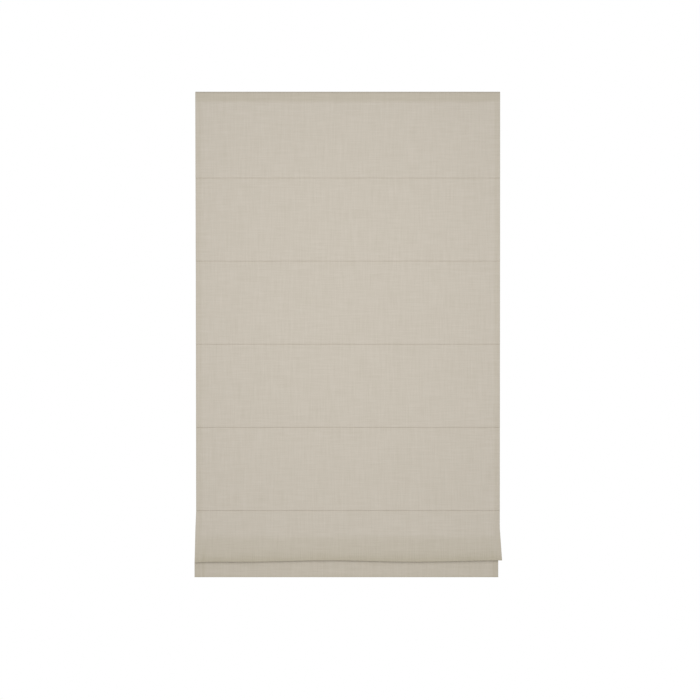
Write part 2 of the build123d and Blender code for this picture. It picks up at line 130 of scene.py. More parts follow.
# %% World, lamp and floor
KEY_POWER = 20.5
FILL_POWER = 17.0
AMBIENT = 0.55
world = bpy.data.worlds.new("studio")
world.use_nodes = True
world.node_tree.nodes.clear()
sees = add_node(world.node_tree, "ShaderNodeLightPath")
dim = add_node(world.node_tree, "ShaderNodeBackground", {"Color": (1, 1, 1, 1), "Strength": AMBIENT})
white = add_node(world.node_tree, "ShaderNodeBackground", {"Color": (1, 1, 1, 1), "Strength": 1.0})
room = add_node(
    world.node_tree, "ShaderNodeMixShader", {0: (sees, "Is Camera Ray"), 1: (dim, 0), 2: (white, 0)}
)
add_node(world.node_tree, "ShaderNodeOutputWorld", {"Surface": (room, 0)})
bpy.context.scene.world = world

middle = Vector((0, FACE_Y, (cloth_low.z + cloth_high.z) / 2))


def soft_panel(name, power, wide, high, away):
    """A rectangular lamp at that offset from the middle of the blind, turned towards it."""
    panel_data = bpy.data.lights.new(name, "AREA")
    panel_data.shape, panel_data.size, panel_data.size_y, panel_data.energy = "RECTANGLE", wide, high, power
    lamp = bpy.data.objects.new(name, panel_data)
    lamp.location = middle + Vector(away)
    lamp.rotation_mode = "QUATERNION"
    lamp.rotation_quaternion = (-Vector(away)).to_track_quat("-Z", "Y")
    lamp.visible_camera = False
    bpy.context.scene.collection.objects.link(lamp)


soft_panel("key", KEY_POWER, 1.2, 1.9, (-0.03, -1.98, 0.26))
soft_panel("back_fill", FILL_POWER, 1.6, 1.6, (0.3, 2.2, 0.5))


# %% [markdown]
# ## Surfaces from arrays
# Each shape is a grid of points worked out as whole arrays. Rows run down and columns run right, so a
# sheet's faces look towards the room. One function joins any grid, or a stack of grids, with quads.

# %% Mesh helpers
def surface(name, points, wrap_rows=False, wrap_columns=False, merge=False):
    """A mesh over points[..., row, column, xyz]: each point joins its neighbours below and to the right."""
    rows, columns = points.shape[-3:-1]
    index = np.arange(points.size // 3).reshape(-1, rows, columns)
    if wrap_rows:
        index = np.concatenate([index, index[:, :1]], axis=1)
    if wrap_columns:
        index = np.concatenate([index, index[:, :, :1]], axis=2)
    corners = (index[:, :-1, :-1], index[:, 1:, :-1], index[:, 1:, 1:], index[:, :-1, 1:])
    quads = np.stack(corners, axis=-1).reshape(-1, 4)
    mesh = bpy.data.meshes.new(name)
    mesh.vertices.add(points.size // 3)
    mesh.vertices.foreach_set("co", points.astype(np.float32).ravel())
    mesh.loops.add(quads.size)
    mesh.loops.foreach_set("vertex_index", quads.astype(np.int32).ravel())
    mesh.polygons.add(len(quads))
    mesh.polygons.foreach_set("loop_start", np.arange(0, quads.size, 4, dtype=np.int32))
    mesh.polygons.foreach_set("use_smooth", np.ones(len(quads), bool))
    mesh.update(calc_edges=True)
    if merge:
        close_poles(mesh)
    piece = bpy.data.objects.new(name, mesh)
    bpy.context.scene.collection.objects.link(piece)
    return piece


def close_poles(mesh):
    """Merges the points that meet at a tube's ends, and turns every face outwards."""
    shell = bmesh.new()
    shell.from_mesh(mesh)
    bmesh.ops.remove_doubles(shell, verts=shell.verts, dist=1e-7)
    bmesh.ops.recalc_face_normals(shell, faces=shell.faces)
    shell.to_mesh(mesh)
    shell.free()


def thicken(piece):
    """Gives the cloth's middle surface its thickness, half to each side."""
    solid = piece.modifiers.new("thickness", "SOLIDIFY")
    solid.thickness, solid.offset = CLOTH_T, 0.0


def tubes(name, centres, radius, reference, sides, closed=False):
    """Round tubes along centres[..., point, xyz]. The circle at each point lies across the path, spanned
    by the part of the reference direction square to it and by their cross product."""
    if closed:
        along = np.roll(centres, -1, axis=-2) - np.roll(centres, 1, axis=-2)
    else:
        along = np.gradient(centres, axis=-2)
    along = along / np.linalg.norm(along, axis=-1, keepdims=True)
    reference = np.asarray(reference, float)
    first = reference - (along @ reference)[..., None] * along
    first = first / np.linalg.norm(first, axis=-1, keepdims=True)
    second = np.cross(along, first)
    angle = np.arange(sides) * 2 * math.pi / sides
    ring = np.cos(angle)[:, None] * first[..., None, :] + np.sin(angle)[:, None] * second[..., None, :]
    scale = np.full(centres.shape[-2], radius)
    if not closed:
        scale[[0, -1]] = 0.0
    points = centres[..., None, :] + scale[:, None, None] * ring
    return surface(name, points, wrap_rows=closed, wrap_columns=True, merge=True)


# %% [markdown]
# ## The linen-look cloth
# The real cloth is a plain weave of uneven yarn. Its threads are about half a millimetre apart, which is
# too fine to show, so the yarn's unevenness is drawn about 3 mm wide, as slubs running both ways. Where
# other layers lie behind, less light comes through and the cloth is darker and yellower. That shade is
# painted into the colour, as is the shade just above the bottom fold, and an attribute on the points says
# how much. Being painted, the shade stays on the cloth from every side.

# %% Cloth material
WEAVE_DARK, WEAVE_LIGHT = "#c4bcae", "#d0c8bc"  # one layer
PAINTED_SHADE_TONE = "#bbb3a1"  # painted shade: the same cloth with layers behind it that keep out the light
SLUB_SHARE = 0.46
SLUB = 3 * MM  # drawn coarser than the half millimetre threads
# how much painted shade each place has, between nought for a single layer and one for many layers behind
SIDE_HEM_SHADE, BAND_SHADE, POCKET_SHADE, CLIMB_SHADE = 0.22, 0.54, 0.4, 0.15
FRONT_LAYER_SHADE, FOLD_EDGE_SHADE, FRONT_HEM_END_SHADE = 0.36, 0.70, 0.45  # painted shade on the drawn-up panel's front layer: below the last rod, just above the fold and along the bar hem's ends
# painted shade on the flap: all over, on its side hems, along a bar hem's end and at its low edge
FLAP_SHADE, FLAP_SIDE_HEM_SHADE, FLAP_HEM_END_SHADE, FLAP_LOW_EDGE_SHADE = 0.24, 0.30, 0.60, 0.5


def new_material(name, hex_colour, roughness, metallic=0.0):
    """A material with a shader set for its colour and gloss, its tree and that shader."""
    material = bpy.data.materials.new(name)
    material.use_nodes = True
    shader = material.node_tree.nodes["Principled BSDF"]
    shader.inputs["Base Color"].default_value = to_linear(hex_colour)
    shader.inputs["Roughness"].default_value = roughness
    shader.inputs["Metallic"].default_value = metallic
    return material, material.node_tree, shader


def stretched_noise(tree, place, scale, detail=2.0):
    """Noise with its own scale, in features per metre, along each of X, Y and Z."""
    spread = add_node(tree, "ShaderNodeMapping", {"Vector": place, "Scale": scale})
    return add_node(tree, "ShaderNodeTexNoise", {"Vector": (spread, 0), "Scale": 1.0, "Detail": detail})


def woven_linen():
    """Plain-woven polyester linen: dull, with slubs along the warp and the weft and a shallow weave."""
    material, tree, shader = new_material("woven_linen_look", WEAVE_LIGHT, 0.9)
    place = (add_node(tree, "ShaderNodeTexCoord"), "Object")
    warp = stretched_noise(tree, place, (1 / SLUB, 40, 14))
    weft = stretched_noise(tree, place, (16, 40, 1 / SLUB))
    both = add_node(tree, "ShaderNodeMath", {0: (warp, 0), 1: (weft, 0)}, operation="ADD")
    # two noises average one between them, and most of their values lie in the middle third
    yarn = add_node(
        tree, "ShaderNodeMapRange",
        {"Value": (both, 0), "From Min": 1 - SLUB_SHARE, "From Max": 1 + SLUB_SHARE},
    )
    dark, light = to_linear(WEAVE_DARK), to_linear(WEAVE_LIGHT)
    single = add_node(tree, "ShaderNodeMix", {0: (yarn, 0), 6: dark, 7: light}, data_type="RGBA")
    # painted shade: an attribute on the points darkens the colour where layers behind keep out the light
    shade_attribute = add_node(tree, "ShaderNodeAttribute", attribute_name="backing")
    # the ratio of the painted shade tone to single cloth, so that the slubs still show through the shade
    middle_tone = [(a + b) / 2 for a, b in zip(dark, light)]
    shade_ratio = tuple(b / m for b, m in zip(to_linear(PAINTED_SHADE_TONE), middle_tone))
    shade_tint = add_node(
        tree, "ShaderNodeMix",
        {0: (shade_attribute, "Fac"), 6: (1.0, 1.0, 1.0, 1.0), 7: shade_ratio}, data_type="RGBA",
    )
    colour = add_node(
        tree, "ShaderNodeMix",
        {0: 1.0, 6: (single, 2), 7: (shade_tint, 2)}, data_type="RGBA", blend_type="MULTIPLY",
    )
    tree.links.new(colour.outputs[2], shader.inputs["Base Color"])
    weave = add_node(tree, "ShaderNodeBump", {"Height": (both, 0), "Strength": 0.25, "Distance": 0.15 * MM})
    tree.links.new(weave.outputs[0], shader.inputs["Normal"])
    shader.inputs["Sheen Weight"].default_value = 0.08
    shader.inputs["Sheen Roughness"].default_value = 0.6
    shader.inputs["Specular IOR Level"].default_value = 0.2
    return material


CLOTH = woven_linen()
print("cloth material nodes", len(CLOTH.node_tree.nodes))

# %% [markdown]
# ## Across the cloth: turned side hems
# Each side of the sheet is turned 20 mm to the back. The width is walked as if unfolded: flat to the
# edge, round a half circle, then back inwards behind. The hems are one piece with the face, as sewn.

# %% Walking the width
HEM_GAP = 0.7 * MM  # middle of the face to the middle of the turned layer
PRESSED_IN = 29 * MM  # how far in from the sides the ends of the bar hem show
EDGE_R = HEM_GAP / 2


def unfolded_width(columns):
    """Distances from the middle along the unfolded cloth, closer together round the edges."""
    flat = HALF_W - 4 * MM
    turn = HALF_W + math.pi * EDGE_R * np.linspace(0, 1, 6)
    back = turn[-1] + SIDE_HEM * np.array([0.06, 0.3, 0.65, 1.0])
    right = np.concatenate([turn, back])
    return np.concatenate([-right[::-1], np.linspace(-flat, flat, columns), right])


def fold_width(walked):
    """x and the step to the back of each unfolded distance: flat, then a half circle, then inwards."""
    past = np.abs(walked) - HALF_W
    turn_length = math.pi * EDGE_R
    angle = np.clip(past, 0, turn_length) / EDGE_R
    inwards = np.maximum(past - turn_length, 0)
    x = np.sign(walked) * (np.minimum(np.abs(walked), HALF_W) + EDGE_R * np.sin(angle) - inwards)
    return x, EDGE_R * (1 - np.cos(angle))


def draw_edges(x, left, right):
    """Moves the left and right edges by those distances, and the cloth between them in proportion."""
    share = (x + HALF_W) / (2 * HALF_W)
    return x + left * (1 - share) + right * share


def face_edges(z):
    """How far the hanging cloth's edges stand from true: drawn in at the last tuck, flared at the fold."""
    heights = [FOLD_LOW, ROD_Z[5] + 12 * MM, ROD_Z[4], ROD_Z[1], CLOTH_TOP]
    left = np.interp(z, heights, np.array([-2.2, 0.6, 3.0, 1.6, 0.0]) * MM)
    right = np.interp(z, heights, np.array([6.6, -1.2, -1.2, -0.3, 0.0]) * MM)
    return left, right


def hem_painted_shade(x):
    """One over the turned side hems, where painted shade goes, and nought elsewhere, with a soft border."""
    return np.clip((np.abs(x) - (HALF_W - SIDE_HEM)) / (1.5 * MM), 0, 1)


def hem_end_shade_line(x):
    """One along a line where the ends of the bar hem show, and nought 6 mm to either side; it places a line
    of painted shade.
    """
    return np.clip(1 - np.abs(np.abs(x) - (HALF_W - PRESSED_IN)) / (6 * MM), 0, 1)


def finish_cloth(piece, backing):
    # stores how much painted shade each point has, which darkens the cloth's colour
    stored = piece.data.attributes.new("backing", "FLOAT", "POINT")
    stored.data.foreach_set("value", np.clip(backing, 0, 1).astype(np.float32).ravel())
    piece.data.materials.append(CLOTH)
    thicken(piece)
    return piece


# %% [markdown]
# ## The five hanging panels
# Between two tucks the cloth hangs almost flat. It leans out by 2 mm towards the lower tuck, where it
# turns in sharply to the rod's pocket, and that lip over a narrow crease is the fine line seen across
# the blind. The lean has a second use: when the rods rise, each panel folds in three, and its layers
# lie one in front of the other.

# %% Panel profile
LEAN = 2.0 * MM
LIP = 2.0 * MM
LIP_ROUND = 0.22  # below one, the lip is round and the crease behind it narrow


def pinch(z, top, bottom, closed_top):
    """One in the crease of a tuck, and nought a lip away, by a quarter of a sine to a small power."""
    reach = (z - bottom) / LIP
    if closed_top:
        reach = np.minimum(reach, (top - z) / LIP)
    return 1 - np.sin(math.pi / 2 * np.clip(reach, 0, 1)) ** LIP_ROUND


ACROSS, DOWN, SLANTING = 0.41, 0.53, 0.19  # lengths of the cloth's long waves, in metres


def slack(x, z):
    """Shallow unevenness of hanging cloth: long waves a few tenths of a millimetre deep."""
    long_wave = np.sin(2 * math.pi * x / ACROSS + 1.3) * np.sin(2 * math.pi * z / DOWN + 0.4)
    slant_wave = np.sin(2 * math.pi * (x + 0.35 * z) / SLANTING)
    return 0.35 * MM * long_wave + 0.15 * MM * slant_wave


def panel_y(x, z, top, bottom, closed_top):
    """Depth of a panel: the face plane, less an even lean, then mixed into the crease by the pinch."""
    share = (top - z) / (top - bottom)
    hanging = FACE_Y - LEAN * share + slack(x, z) * np.sin(math.pi * np.clip(share, 0, 1))
    crease = pinch(z, top, bottom, closed_top)
    return hanging * (1 - crease) + TUCK_Y * crease


def heights_between(top, bottom, closed_top, step=7 * MM):
    """Heights from top to bottom, closer together in the lips."""
    lip = LIP * np.array([0, 0.004, 0.02, 0.06, 0.14, 0.28, 0.5, 0.75, 1.0])
    start = top - lip if closed_top else np.array([top])
    end = (bottom + lip)[::-1]
    count = int((start[-1] - end[0]) / step) + 2
    return np.concatenate([start, np.linspace(start[-1], end[0], count)[1:-1], end])


# %% Panels
walked = unfolded_width(170)
flat_x, step_back = fold_width(walked)
tops = [CLOTH_TOP, *ROD_Z[:4]]
for k, (top, bottom) in enumerate(zip(tops, ROD_Z[:5])):
    z = heights_between(top, bottom, closed_top=k > 0)[:, None] + 0 * flat_x
    x = draw_edges(flat_x + 0 * z, *face_edges(z))
    y = panel_y(x, z, top, bottom, closed_top=k > 0) + step_back
    panel = surface(f"cloth_panel_{k + 1}", np.stack([x, y, z], axis=-1))
    # painted shade on the side hems, and on the top band where layers lie behind
    backing = SIDE_HEM_SHADE * hem_painted_shade(flat_x + 0 * z)
    if k == 0:
        in_band = np.clip((z - (CLOTH_TOP - BAND)) / (1.5 * MM), 0, 1)
        backing = np.maximum(backing, BAND_SHADE * in_band)
    finish_cloth(panel, backing)
    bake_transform(panel)
    print(panel.name, "height", round(top - bottom, 3), "faces", len(panel.data.polygons))
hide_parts("face_cloth")

# %% [markdown]
# ## The top hem
# The top of the sheet is turned 33 mm to the back, and the touch tape is sewn to that layer. It is held
# flat to the rail, so it is its own piece and stays with the rail when the first panel folds.

# %% Top hem
TURN_R = CLOTH_T / 2
over = np.linspace(0, math.pi, 7)
hem_fall = np.linspace(0, BAND, 8)[1:]
hem_y = np.concatenate([FACE_Y + TURN_R * (1 - np.cos(over)), np.full(7, FACE_Y + 2 * TURN_R)])
hem_z = np.concatenate([CLOTH_TOP + TURN_R * np.sin(over), CLOTH_TOP - hem_fall])
hem_x = np.linspace(HALF_W, -HALF_W, 60)
grid = np.stack(
    [hem_x + 0 * hem_y[:, None], hem_y[:, None] + 0 * hem_x, hem_z[:, None] + 0 * hem_x], axis=-1
)
# the turned top hem has the band's painted shade all over
top_hem_painted_shade = BAND_SHADE + 0 * grid[..., 0]
top_hem = finish_cloth(surface("top_hem", grid), top_hem_painted_shade)
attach(top_hem, "head")
print("top hem", BAND / MM, "mm deep")

# %% [markdown]
# ## The bottom fold, the climbing layer and the flap
# The last panel is drawn up once. Its front layer hangs below the fifth rod, turns round a soft fold,
# and climbs behind to the last rod, from which the hemmed flap hangs. Cloth gathered at a fold is never
# straight: the edge waves by a few millimetres, and fine upright ripples die out above it. Those ripples
# are real shape here, about 6 mm apart, which needs closer columns than the panels have.

# %% Front layer with its fold
RIPPLE = 0.17 * MM
RIPPLE_TOP = 60 * MM  # how far above the fold the ripples reach
WAVE_TOP = 0.12  # and how far the edge's wave lifts the cloth, in metres


def fold_wave(x):
    """How far the fold's edge stands above its lowest place: a slow wave, and a dip at the left end."""
    u = (x + HALF_W) / (2 * HALF_W)
    wave = 4.0 + 2.3 * np.cos(2 * math.pi * (u - 0.44) / 0.56) - 5.5 * np.exp(-np.maximum(u, 0) / 0.05)
    return wave * MM


def ripples(x):
    """Uneven upright ripples: three close wavelengths, swelling and fading along the fold."""
    fine = np.sin(2 * math.pi * x / (6.3 * MM)) + 0.8 * np.sin(2 * math.pi * x / (7.9 * MM) + 1.0)
    return (fine + 0.6 * np.sin(2 * math.pi * x / (4.9 * MM) + 2.2)) * (0.7 + 0.3 * np.sin(x * 37))


wide = unfolded_width(640)
wide_x, wide_back = fold_width(wide)
straight_end = FOLD_LOW + FOLD_R
down = heights_between(ROD_Z[4], straight_end, True, step=6 * MM)
down = down[down > straight_end + 1 * MM]
half_turn = np.linspace(0, math.pi, 9)
fold_z = np.concatenate([down, straight_end - FOLD_R * np.sin(half_turn)])[:, None] + 0 * wide_x
turn_y = np.concatenate([np.zeros(len(down)), FOLD_R * (1 - np.cos(half_turn))])[:, None]
crease = pinch(fold_z, ROD_Z[4], FOLD_LOW - 1, True)
near_fold = np.clip((straight_end + RIPPLE_TOP - fold_z) / RIPPLE_TOP, 0, 1)
hang_y = (FACE_Y + turn_y) * (1 - crease) + TUCK_Y * crease
fold_x = draw_edges(wide_x + 0 * fold_z, *face_edges(fold_z))
fold_y = hang_y + wide_back + RIPPLE * ripples(wide_x) * near_fold**1.3
lifted = np.clip((straight_end + WAVE_TOP - fold_z) / WAVE_TOP, 0, 1) ** 2
points = np.stack([fold_x, fold_y, fold_z + fold_wave(wide_x) * lifted], axis=-1)
# painted shade: below the last rod where layers lie behind, deeper just above the fold, and along the bar
# hem's ends
behind_from = np.clip((ROD_Z[5] - 10 * MM - fold_z) / (20 * MM), 0, 1)
fold_hem_shade = SIDE_HEM_SHADE * hem_painted_shade(wide_x + 0 * fold_z)
fold_painted_shade = np.maximum(fold_hem_shade, FRONT_LAYER_SHADE * behind_from + FOLD_EDGE_SHADE * near_fold**2.5)
fold_painted_shade = fold_painted_shade + FRONT_HEM_END_SHADE * hem_end_shade_line(wide_x) * near_fold
fold = finish_cloth(surface("cloth_fold", points), fold_painted_shade)
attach(fold, "batten_5")
print("fold edge waves by", round(float(np.ptp(fold_wave(wide_x))) / MM, 1), "mm")

# %% Climbing layer
CLIMB_BOW = 2.2 * MM  # bows back, to clear the fold when the last rod is let down
FLAP_SHIFT = {"left": (0.6 * MM, -3.0 * MM), "right": (-2.5 * MM, -5.6 * MM)}  # at the rod, at the hem


def flap_edges(z):
    """How far the flap's edges stand from true: it hangs a little askew, more so towards its hem."""
    return tuple(np.interp(z, (FOLD_LOW, ROD_Z[5]), shift[::-1]) for shift in FLAP_SHIFT.values())


rod_left, rod_right = flap_edges(ROD_Z[5])
climb_low = straight_end
climb_z = np.linspace(climb_low, ROD_Z[5], 22)[:, None] + 0 * flat_x
risen = (climb_z - climb_low) / (ROD_Z[5] - climb_low)
low_left, low_right = face_edges(FOLD_LOW)
climb_x = draw_edges(
    flat_x + 0 * climb_z,
    low_left + (rod_left - low_left) * risen,
    low_right + (rod_right - low_right) * risen,
)
climb_y = TUCK_Y - step_back * 0.4 + CLIMB_BOW * np.sin(math.pi * risen)
climb_points = np.stack([climb_x, climb_y, climb_z + fold_wave(flat_x) * (1 - risen) ** 2], axis=-1)
climb = surface("cloth_climb", climb_points)
# an even, light painted shade
finish_cloth(climb, CLIMB_SHADE + 0 * climb_z)
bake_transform(climb)

# %% Flap with the bar's hem
bar_low, bar_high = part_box("bottom_bar_caps")
HEM_BACK_Y = cloth_high.y - CLOTH_T / 2
hem_top = bar_high.z + 0.6 * MM
HEM_CLOSE = 6 * MM  # the hem's back layer slopes to the flap over this height
fall = np.linspace(ROD_Z[5], HEM_LOW + 1 * MM, 26)
corner = np.linspace(0, math.pi / 2, 5)[1:]
corner_r = 1 * MM
side = [
    (FLAP_Y + 0 * fall, fall),
    (FLAP_Y + corner_r * (1 - np.cos(corner)), HEM_LOW + corner_r * (1 - np.sin(corner))),
    (HEM_BACK_Y - corner_r * (1 - np.sin(corner)), HEM_LOW + corner_r * (1 - np.cos(corner))),
    (np.full(6, HEM_BACK_Y), np.linspace(HEM_LOW + 3 * MM, hem_top, 6)),
    (np.linspace(HEM_BACK_Y, FLAP_Y + HEM_GAP, 5)[1:], np.linspace(hem_top, hem_top + HEM_CLOSE, 5)[1:]),
]
flap_y, flap_z = (np.concatenate([part[i] for part in side])[:, None] + 0 * flat_x for i in (0, 1))
layer = np.where(np.arange(len(flap_y))[:, None] < len(fall), step_back, -0.5 * step_back)
flap_x = draw_edges(flat_x + 0 * flap_z, *flap_edges(flap_z))
flap_points = np.stack([flap_x, flap_y + layer + 0.5 * slack(flap_x, flap_z), flap_z], axis=-1)
flap = surface("cloth_flap", flap_points)
# painted shade on the flap: all over, more on the side hems, on the left bar hem end's line and at the low
# edge
flap_painted_shade = FLAP_SHADE + FLAP_SIDE_HEM_SHADE * hem_painted_shade(flat_x + 0 * flap_z)
flap_painted_shade = flap_painted_shade + FLAP_HEM_END_SHADE * hem_end_shade_line(flat_x) * (flat_x < 0)
flap_painted_shade = flap_painted_shade + FLAP_LOW_EDGE_SHADE * np.clip((HEM_LOW + 4 * MM - flap_z) / (3 * MM), 0, 1)
finish_cloth(flap, flap_painted_shade)
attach(flap, "batten_6")

# %% [markdown]
# ## Rod pockets
# Behind each crease the cloth wraps once round a rod. A circle carried across the blind gives the
# pocket, open at both ends so that the rod's caps show.

# %% Pockets
around = np.linspace(0, 2 * math.pi, 20, endpoint=False)
across = np.linspace(-HALF_W + 2 * MM, HALF_W - 2 * MM, 120)
for k, rod_z in enumerate(ROD_Z, start=1):
    edges = face_edges(rod_z) if k < 6 else (rod_left + 1 * MM, rod_right)
    pocket_x = draw_edges(across, *edges)[:, None] + 0 * around
    pocket_y = ROD_Y + POCKET_R * np.cos(around) + 0 * pocket_x
    pocket_z = rod_z + POCKET_R * np.sin(around) + 0 * pocket_x
    pocket = surface(f"rod_pocket_{k}", np.stack([pocket_x, pocket_y, pocket_z], axis=-1), wrap_columns=True)
    # an even painted shade, where the pocket's layers lie together
    finish_cloth(pocket, POCKET_SHADE + 0 * pocket_x)
    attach(pocket, f"batten_{k}")

# %% [markdown]
# ## Stitching
# Machine stitches are short lengths of thread that rise out of the cloth and dive back into it. Each is
# a small tube along half a sine, and a row of them is one piece. The band's row shows as dashes on the
# face; those of the side hems, tucks and bar hem are on the back.


# %% Thread material and stitch rows
def spun_thread():
    """Spun polyester thread: a soft gloss, with the twist of its plies drawn across it as a bump and as
    painted shade in its grooves.
    """
    material, tree, shader = new_material("spun_polyester_thread", "#b3a994", 0.6)
    place = (add_node(tree, "ShaderNodeTexCoord"), "Object")
    turned = add_node(tree, "ShaderNodeMapping", {"Vector": place, "Rotation": (0.6, 0.7, 0.5)})
    twist_and_groove_shade = add_node(tree, "ShaderNodeTexWave", {"Vector": (turned, 0), "Scale": 1 / (1.2 * MM) / 6.28})
    # painted shade: the grooves of the twist are darker, on the same wave as the bump
    colour = add_node(
        tree, "ShaderNodeMix",
        {0: (twist_and_groove_shade, "Fac"), 6: to_linear("#a79d88"), 7: to_linear("#bdb39e")}, data_type="RGBA",
    )
    tree.links.new(colour.outputs[2], shader.inputs["Base Color"])
    ply = add_node(tree, "ShaderNodeBump", {"Height": (twist_and_groove_shade, "Fac"), "Strength": 0.4, "Distance": 0.1 * MM})
    tree.links.new(ply.outputs[0], shader.inputs["Normal"])
    return material


THREAD = spun_thread()
THREAD_R = 0.25 * MM
STITCH, STITCH_GAP = 3.4 * MM, 1.6 * MM


def stitch_row(name, starts, ends, rise, slot="cloth"):
    """Stitches from starts to ends: straight between them, and rising along rise by half a sine."""
    share = np.linspace(0, 1, 7)[:, None]
    path = starts[:, None] * (1 - share) + ends[:, None] * share
    path = path + np.sin(math.pi * share) * np.asarray(rise)
    row = tubes(name, path, THREAD_R, np.asarray(rise) / np.linalg.norm(rise), sides=6)
    row.data.materials.append(THREAD)
    return row


def stitch_places(start, end):
    """Where each stitch between two distances starts and ends."""
    first = np.arange(start, end - STITCH, STITCH + STITCH_GAP)
    return first, first + STITCH


# %% Stitches on the face and the back
OUT, BACK = np.array([0, -0.35 * MM, 0]), np.array([0, 0.35 * MM, 0])
inset = 25 * MM  # the tape's sewing stops short of the edges
first, last = stitch_places(-HALF_W + inset, HALF_W - inset)
band_z = CLOTH_TOP - BAND - 0.5 * MM
band_y = panel_y(first, band_z + 0 * first, CLOTH_TOP, ROD_Z[0], False) - CLOTH_T / 2
band_ends = [np.stack([x, band_y, band_z + 0 * x], axis=-1) for x in (first, last)]
band_row = stitch_row("band_stitches", *band_ends, OUT)
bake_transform(band_row)

for k, (top, bottom) in enumerate(zip(tops, ROD_Z[:5])):
    first, last = stitch_places(-top + 4 * MM, -bottom - 4 * MM)
    ends = []
    for down_z in (-first, -last):
        both_sides = []
        for sign in (-1, 1):
            x = draw_edges(sign * (HALF_W - SIDE_HEM + 2 * MM) + 0 * down_z, *face_edges(down_z))
            y = panel_y(x, down_z, top, bottom, k > 0) + HEM_GAP + CLOTH_T / 2
            both_sides.append(np.stack([x, y, down_z], axis=-1))
        ends.append(np.concatenate(both_sides))
    hem_row = stitch_row(f"hem_stitches_{k + 1}", *ends, BACK)
    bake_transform(hem_row)

first, last = stitch_places(-HALF_W + 12 * MM, HALF_W - 12 * MM)
for k, rod_z in enumerate(ROD_Z, start=1):
    # low on the pocket's front, by the cosine and sine of 57 degrees
    low_y, low_z = ROD_Y - 0.55 * POCKET_R, rod_z - 0.84 * POCKET_R - CLOTH_T / 2
    ends = [np.stack([x, low_y + 0 * x, low_z + 0 * x], axis=-1) for x in (first, last)]
    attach(stitch_row(f"pocket_stitches_{k}", *ends, (0, 0, -0.35 * MM)), f"batten_{k}")

close_y, close_z = FLAP_Y + HEM_GAP + CLOTH_T / 2, hem_top + HEM_CLOSE - 1.5 * MM
ends = [np.stack([x - 4 * MM, close_y + 0 * x, close_z + 0 * x], axis=-1) for x in (first, last)]
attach(stitch_row("bar_hem_stitches", *ends, BACK), "batten_6")
print("stitches in one row", len(first))

# %% [markdown]
# ## Ring sewing
# Each ring is held to its pocket by a few turns of thread round the ring's wire. A turn is a small
# closed loop, upright and square to the rod, and four lie side by side.

# %% Ring threads
CORD_IN = 0.7 * MM  # the cord's middle, in from the end of its node's box
CORD_X = [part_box(f"lift_cord_{place}")[0].x + CORD_IN for place in ("left", "centre", "right")]
ring_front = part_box("rings_1")[0].y
SEW_R = 1.5 * MM
turn_angle = np.linspace(0, 2 * math.pi, 16, endpoint=False)
beside = (np.arange(4) - 1.5) * 2.1 * THREAD_R  # four turns, just clear of each other
sewn_x = (np.array(CORD_X)[:, None] + beside).ravel()
for k, rod_z in enumerate(ROD_Z, start=1):
    loop_x = sewn_x[:, None] + 0 * turn_angle
    loop_y = ring_front + 0.5 * MM + SEW_R * np.cos(turn_angle) + 0 * loop_x
    loop_z = rod_z + SEW_R * np.sin(turn_angle) + 0 * loop_x
    loop_paths = np.stack([loop_x, loop_y, loop_z], axis=-1)
    loops = tubes(f"ring_threads_{k}", loop_paths, THREAD_R, (1, 0, 0), sides=6, closed=True)
    loops.data.materials.append(THREAD)
    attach(loops, f"batten_{k}")

# %% [markdown]
# ## Lift cords
# A lift cord is a 1.2 mm braid, wound on its spool, led down through the rings and knotted under a bead.
# It is held all the way, so it is straight, and the wound turns go round with the shaft.


# %% Cord material and lengths
def braided_polyester():
    """Braided polyester cord: matt white, with the slanting plaits of its eight strands drawn as a bump and
    as painted shade between them.
    """
    material, tree, shader = new_material("braided_polyester", "#e6e3da", 0.75)
    place = (add_node(tree, "ShaderNodeTexCoord"), "Object")
    slant = add_node(tree, "ShaderNodeMapping", {"Vector": place, "Rotation": (0.0, 0.9, 0.4)})
    plait_and_groove_shade = add_node(tree, "ShaderNodeTexWave", {"Vector": (slant, 0), "Scale": 1 / (1.5 * MM) / 6.28})
    # painted shade: between the plaits the white is darker, on the same wave as the bump
    colour = add_node(
        tree, "ShaderNodeMix",
        {0: (plait_and_groove_shade, "Fac"), 6: to_linear("#d3d0c6"), 7: to_linear("#ece9e1")}, data_type="RGBA",
    )
    tree.links.new(colour.outputs[2], shader.inputs["Base Color"])
    raised = add_node(
        tree, "ShaderNodeBump", {"Height": (plait_and_groove_shade, "Fac"), "Strength": 0.5, "Distance": 0.2 * MM}
    )
    tree.links.new(raised.outputs[0], shader.inputs["Normal"])
    return material


BRAID = braided_polyester()
CORD_R = 0.6 * MM
shaft_low, shaft_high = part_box("lift_shaft")
SHAFT_Y, SHAFT_Z = (shaft_low.y + shaft_high.y) / 2, (shaft_low.z + shaft_high.z) / 2
WIND_R, TURNS = 8.5 * MM, 6
CORD_Y = SHAFT_Y - WIND_R
cord_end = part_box("lift_cord_left")[0].z
spout_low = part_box("cradle_left")[0].z


def cord_piece(name, paths, reference, closed=False):
    """A cord along each path, in the braid's material and slot."""
    piece = tubes(name, paths, CORD_R, reference, sides=10, closed=closed)
    piece.data.materials.append(BRAID)
    return piece


def straight_cords(name, high, low):
    """The three cords between two heights, with points about 4 mm apart so that they can shorten."""
    z = np.linspace(high, low, int((high - low) / (4 * MM)) + 3)
    paths = np.stack([np.stack([x + 0 * z, CORD_Y + 0 * z, z], axis=-1) for x in CORD_X])
    return cord_piece(name, paths, (1, 0, 0))


